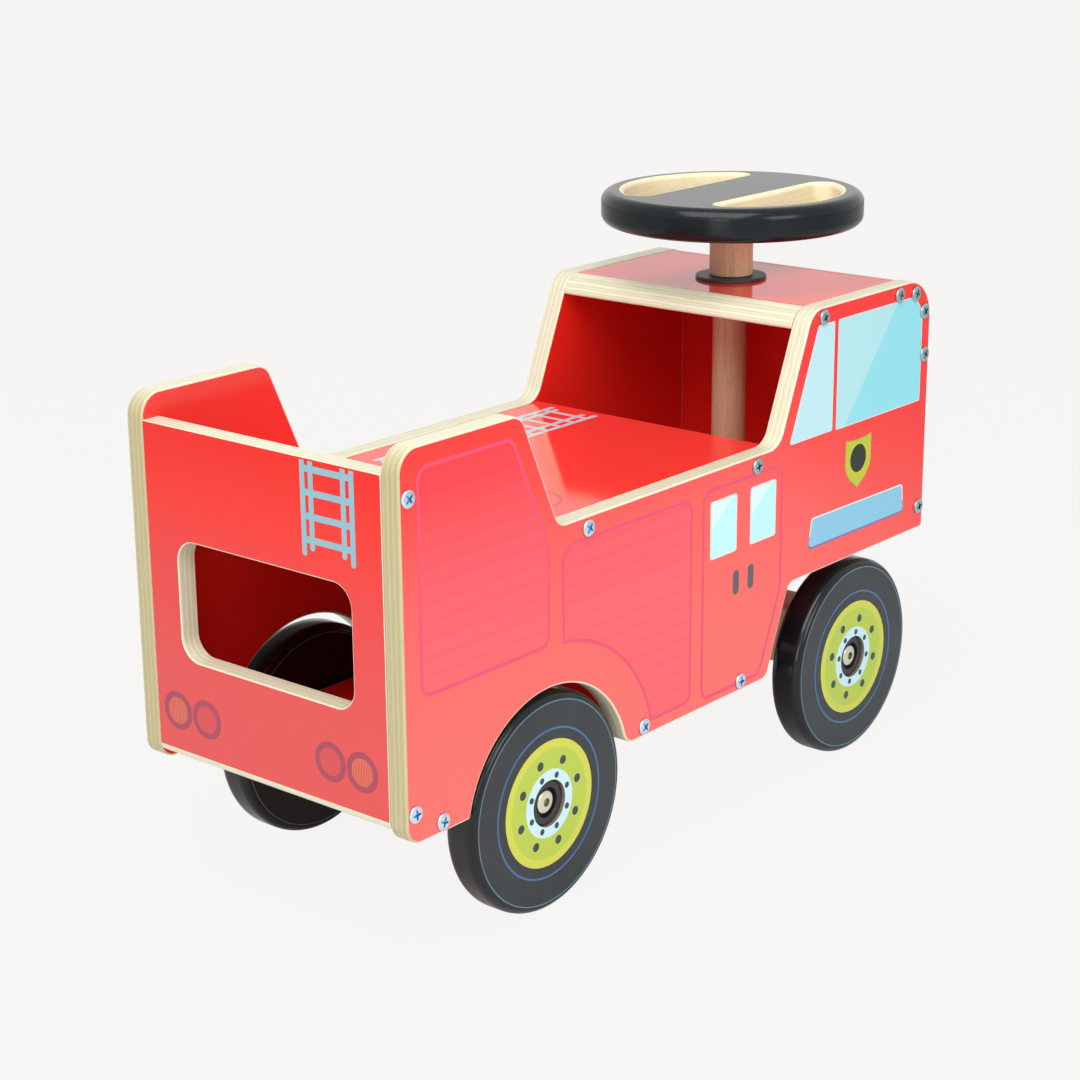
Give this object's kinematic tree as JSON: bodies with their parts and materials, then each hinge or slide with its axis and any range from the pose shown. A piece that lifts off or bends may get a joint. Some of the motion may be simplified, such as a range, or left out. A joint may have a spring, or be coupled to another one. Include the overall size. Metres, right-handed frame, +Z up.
{
  "type": "toy fire engine",
  "caption": "Wooden ride-on fire engine with open seat deck, storage bay, cab, steered front wheels and free rolling wheels on fixed axles.",
  "frame": {"origin": "on the ground, under the middle of the whole toy's box", "axes": "+X forward, the way it rolls; +Y to its left; +Z up"},
  "size_m": [0.5189, 0.2112, 0.368],
  "materials": {
    "red_film": "satin red film with printed outlines on plywood, natural wood at the edges",
    "red_paint": "red lacquer on wood",
    "beech": "clear lacquered beech",
    "pine": "plain lacquered softwood",
    "black_paint": "black lacquered wood",
    "printed_wheel": "black lacquered wood with printed rings and dots on the outer face",
    "black_plastic": "black moulded",
    "zinc": "bright zinc plate",
    "nickel": "nickel plate"
  },
  "bodies": {
    "chassis": {"left_side_panel": "red_film", "right_side_panel": "red_film", "rear_panel": "red_film", "seat_deck": "red_film", "floor_panel": "red_film", "roof_panel": "red_film", "roof_corner_block": "red_paint", "front_panel": "red_film", "steering_board": "red_film", "rear_axle_block": "pine", "rear_axle": "zinc", "roof_bush": "black_plastic", "steering_board_bush": "black_plastic", "left_rear_upper_screw": "zinc", "left_rear_lower_screw": "zinc", "left_floor_rear_screw": "zinc", "left_floor_middle_screw": "zinc", "left_floor_front_screw": "zinc", "left_deck_rear_screw": "zinc", "left_deck_front_screw": "zinc", "left_roof_rear_screw": "zinc", "left_roof_front_screw": "zinc", "left_corner_upper_screw": "zinc", "left_corner_lower_screw": "zinc", "left_front_upper_screw": "zinc", "left_front_lower_screw": "zinc", "right_rear_upper_screw": "zinc", "right_rear_lower_screw": "zinc", "right_floor_rear_screw": "zinc", "right_floor_middle_screw": "zinc", "right_floor_front_screw": "zinc", "right_deck_rear_screw": "zinc", "right_deck_front_screw": "zinc", "right_roof_rear_screw": "zinc", "right_roof_front_screw": "zinc", "right_corner_upper_screw": "zinc", "right_corner_lower_screw": "zinc", "right_front_upper_screw": "zinc", "right_front_lower_screw": "zinc", "rear_left_wheel_bolt": "nickel", "rear_right_wheel_bolt": "nickel"},
    "steering": {"steering_wheel": "black_paint", "steering_wheel_screw": "black_plastic", "steering_column": "beech", "column_sleeve_upper": "beech", "column_sleeve_lower": "beech", "front_axle_beam": "pine", "column_cross_bolt": "zinc", "front_axle": "zinc", "front_left_wheel_bolt": "nickel", "front_right_wheel_bolt": "nickel"},
    "rear_left_rolling": {"rear_left_wheel": "printed_wheel", "rear_left_wheel_bush": "black_plastic"},
    "rear_right_rolling": {"rear_right_wheel": "printed_wheel", "rear_right_wheel_bush": "black_plastic"},
    "front_left_rolling": {"front_left_wheel": "printed_wheel", "front_left_wheel_bush": "black_plastic"},
    "front_right_rolling": {"front_right_wheel": "printed_wheel", "front_right_wheel_bush": "black_plastic"}
  },
  "joints": [
    {"name": "steer", "type": "hinge", "parent": "chassis", "child": "steering", "pos_m": [0.1735, 0, 0.1], "axis": [0, 0, 1], "range_deg": [-30, 30]},
    {"name": "rear_left_roll", "type": "hinge", "parent": "chassis", "child": "rear_left_rolling", "pos_m": [-0.1405, 0.09175, 0.066], "axis": [0, 1, 0], "continuous": true},
    {"name": "rear_right_roll", "type": "hinge", "parent": "chassis", "child": "rear_right_rolling", "pos_m": [-0.1405, -0.09175, 0.066], "axis": [0, 1, 0], "continuous": true},
    {"name": "front_left_roll", "type": "hinge", "parent": "steering", "child": "front_left_rolling", "pos_m": [0.1735, 0.09325, 0.066], "axis": [0, 1, 0], "continuous": true},
    {"name": "front_right_roll", "type": "hinge", "parent": "steering", "child": "front_right_rolling", "pos_m": [0.1735, -0.09325, 0.066], "axis": [0, 1, 0], "continuous": true}
  ]
}
